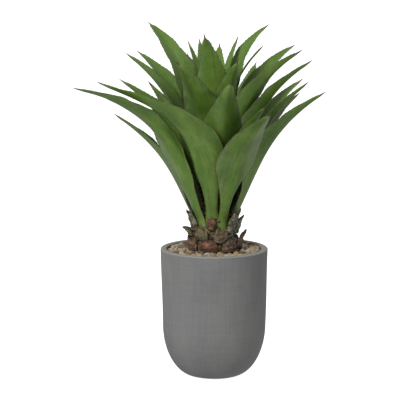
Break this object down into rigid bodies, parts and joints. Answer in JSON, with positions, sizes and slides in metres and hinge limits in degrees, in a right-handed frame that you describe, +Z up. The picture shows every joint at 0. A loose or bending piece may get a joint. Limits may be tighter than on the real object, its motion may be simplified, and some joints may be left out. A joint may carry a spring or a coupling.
{
  "type": "potted agave",
  "caption": "Agave rosette of broad, spine-tipped channelled leaves on a short scaly trunk, standing in gravel in a round-bottomed matt planter.",
  "frame": {"origin": "centre of the planter's flat base, on the surface that it stands on", "axes": "+Z up along the planter's axis, -Y towards the viewer's side, +X to the viewer's right"},
  "size_m": [0.5657, 0.5356, 0.815],
  "materials": {
    "fibre_clay": "matte",
    "potting_mix": "matte",
    "river_gravel": "matte",
    "trunk_bark": "matte",
    "dry_leaf_base": "matte",
    "agave_leaf": "satin"
  },
  "bodies": {
    "root": {"planter": "fibre_clay", "soil": "potting_mix", "gravel_bed": "river_gravel", "trunk": "trunk_bark", "leaf_stub_01": "dry_leaf_base", "leaf_stub_02": "dry_leaf_base", "leaf_stub_03": "dry_leaf_base", "leaf_stub_04": "dry_leaf_base", "leaf_stub_05": "dry_leaf_base", "leaf_stub_06": "dry_leaf_base", "leaf_stub_07": "dry_leaf_base", "leaf_stub_08": "dry_leaf_base", "leaf_stub_09": "dry_leaf_base", "leaf_stub_10": "dry_leaf_base", "leaf_stub_11": "dry_leaf_base", "leaf_stub_12": "dry_leaf_base", "leaf_stub_13": "dry_leaf_base", "leaf_stub_14": "dry_leaf_base", "leaf_stub_15": "dry_leaf_base", "leaf_stub_16": "dry_leaf_base", "leaf_stub_17": "dry_leaf_base", "leaf_01": "agave_leaf", "leaf_02": "agave_leaf", "leaf_03": "agave_leaf", "leaf_04": "agave_leaf", "leaf_05": "agave_leaf", "leaf_06": "agave_leaf", "leaf_07": "agave_leaf", "leaf_08": "agave_leaf", "leaf_09": "agave_leaf", "leaf_10": "agave_leaf", "leaf_11": "agave_leaf", "leaf_12": "agave_leaf", "leaf_13": "agave_leaf", "leaf_14": "agave_leaf", "leaf_15": "agave_leaf", "leaf_16": "agave_leaf", "leaf_17": "agave_leaf", "leaf_18": "agave_leaf", "leaf_19": "agave_leaf", "leaf_20": "agave_leaf", "leaf_21": "agave_leaf", "leaf_22": "agave_leaf", "leaf_23": "agave_leaf", "leaf_24": "agave_leaf", "leaf_25": "agave_leaf", "leaf_26": "agave_leaf", "leaf_27": "agave_leaf", "leaf_28": "agave_leaf", "leaf_29": "agave_leaf", "leaf_30": "agave_leaf", "leaf_31": "agave_leaf", "leaf_32": "agave_leaf", "leaf_33": "agave_leaf", "leaf_34": "agave_leaf", "leaf_35": "agave_leaf", "leaf_spear": "agave_leaf"}
  },
  "joints": []
}
